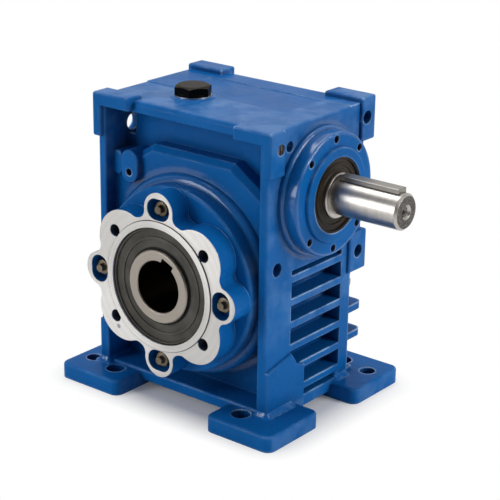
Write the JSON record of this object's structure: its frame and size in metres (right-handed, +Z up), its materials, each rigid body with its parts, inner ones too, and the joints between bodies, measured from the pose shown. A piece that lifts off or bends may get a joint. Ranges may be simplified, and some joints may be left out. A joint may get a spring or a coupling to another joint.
{
  "type": "worm gear reducer",
  "caption": "Footed worm gear reducer: cast housing with cooling fins, keyed input shaft driving a worm, bronze worm wheel on a hollow output shaft in a lobed cover.",
  "frame": {"origin": "on the base plane, at the centre of the four foot bolts", "axes": "+X along the input shaft towards its keyed end, -Y out of the lobed output cover, +Z up"},
  "size_m": [0.2325, 0.1495, 0.2111],
  "materials": {
    "blue_enamel": "glossy mid-blue enamel over a slightly grainy iron casting",
    "blue_enamel_cover": "blue enamel on the sides, bare turned iron on the outer face",
    "blue_enamel_carrier": "turned ring painted with the casting",
    "blue_enamel_cap": "pressed steel cap painted with the casting",
    "zinc_screws": "yellow zinc",
    "gasket_paper": "pressed fibre sheet",
    "seal_rubber": "moulded nitrile, satin",
    "brown_seal_rubber": "moulded rubber, brown-black, satin",
    "bearing_steel": "ground bearing steel",
    "cage_steel": "pressed sheet steel",
    "machined_iron": "turned, fine circular tool marks",
    "bronze": "cast and hobbed bronze",
    "black_screws": "black oxide",
    "machined_steel": "turned or drawn steel",
    "ground_steel": "ground and polished",
    "spring_steel": "phosphated spring steel",
    "black_plug": "black moulded plug",
    "washer_aluminium": "soft sealing washer",
    "brass_screw": "slotted brass"
  },
  "bodies": {
    "housing": {"housing": "blue_enamel", "output_cover": "blue_enamel_cover", "rear_cover": "blue_enamel_cover", "output_cover_screws": "zinc_screws", "rear_cover_screws": "zinc_screws", "output_cover_gasket": "gasket_paper", "rear_cover_gasket": "gasket_paper", "front_output_seal": "seal_rubber", "rear_output_seal": "seal_rubber", "input_seal": "brown_seal_rubber", "input_seal_carrier": "blue_enamel_carrier", "front_bearing_cup": "bearing_steel", "rear_bearing_cup": "bearing_steel", "input_bearing_cup": "bearing_steel", "tail_bearing_cup": "bearing_steel", "input_circlip": "spring_steel", "tail_circlip": "spring_steel", "tail_end_cap": "blue_enamel_cap", "filler_plug": "black_plug", "filler_washer": "washer_aluminium", "drain_plug": "black_screws", "corner_set_screw": "brass_screw"},
    "output_shaft": {"hollow_output_shaft": "machined_iron", "worm_wheel_rim": "bronze", "rim_lock_screws": "black_screws", "front_spacer": "machined_steel", "rear_spacer": "machined_steel", "front_bearing_cone": "bearing_steel", "rear_bearing_cone": "bearing_steel"},
    "worm": {"worm_shaft": "ground_steel", "input_key": "machined_steel", "input_bearing_cone": "bearing_steel", "tail_bearing_cone": "bearing_steel"},
    "front_roller_set": {"front_bearing_rollers": "bearing_steel", "front_bearing_cage": "cage_steel"},
    "rear_roller_set": {"rear_bearing_rollers": "bearing_steel", "rear_bearing_cage": "cage_steel"},
    "input_roller_set": {"input_bearing_rollers": "bearing_steel", "input_bearing_cage": "cage_steel"},
    "tail_roller_set": {"tail_bearing_rollers": "bearing_steel", "tail_bearing_cage": "cage_steel"}
  },
  "joints": [
    {"name": "output_spin", "type": "hinge", "parent": "housing", "child": "output_shaft", "pos_m": [0, 0, 0.091], "axis": [0, 1, 0], "continuous": true},
    {"name": "input_spin", "type": "hinge", "parent": "housing", "child": "worm", "pos_m": [0, 0, 0.154], "axis": [1, 0, 0], "continuous": true},
    {"name": "front_roller_spin", "type": "hinge", "parent": "housing", "child": "front_roller_set", "pos_m": [0, 0, 0.091], "axis": [0, 1, 0], "continuous": true},
    {"name": "rear_roller_spin", "type": "hinge", "parent": "housing", "child": "rear_roller_set", "pos_m": [0, 0, 0.091], "axis": [0, 1, 0], "continuous": true},
    {"name": "input_roller_spin", "type": "hinge", "parent": "housing", "child": "input_roller_set", "pos_m": [0, 0, 0.154], "axis": [1, 0, 0], "continuous": true},
    {"name": "tail_roller_spin", "type": "hinge", "parent": "housing", "child": "tail_roller_set", "pos_m": [0, 0, 0.154], "axis": [1, 0, 0], "continuous": true}
  ],
  "couplings": [
    {"joint": "input_spin", "follows": "output_spin", "ratio": -30},
    {"joint": "front_roller_spin", "follows": "output_spin", "ratio": 0.4416},
    {"joint": "rear_roller_spin", "follows": "output_spin", "ratio": 0.4416},
    {"joint": "input_roller_spin", "follows": "output_spin", "ratio": -12.784},
    {"joint": "tail_roller_spin", "follows": "output_spin", "ratio": -12.002}
  ]
}
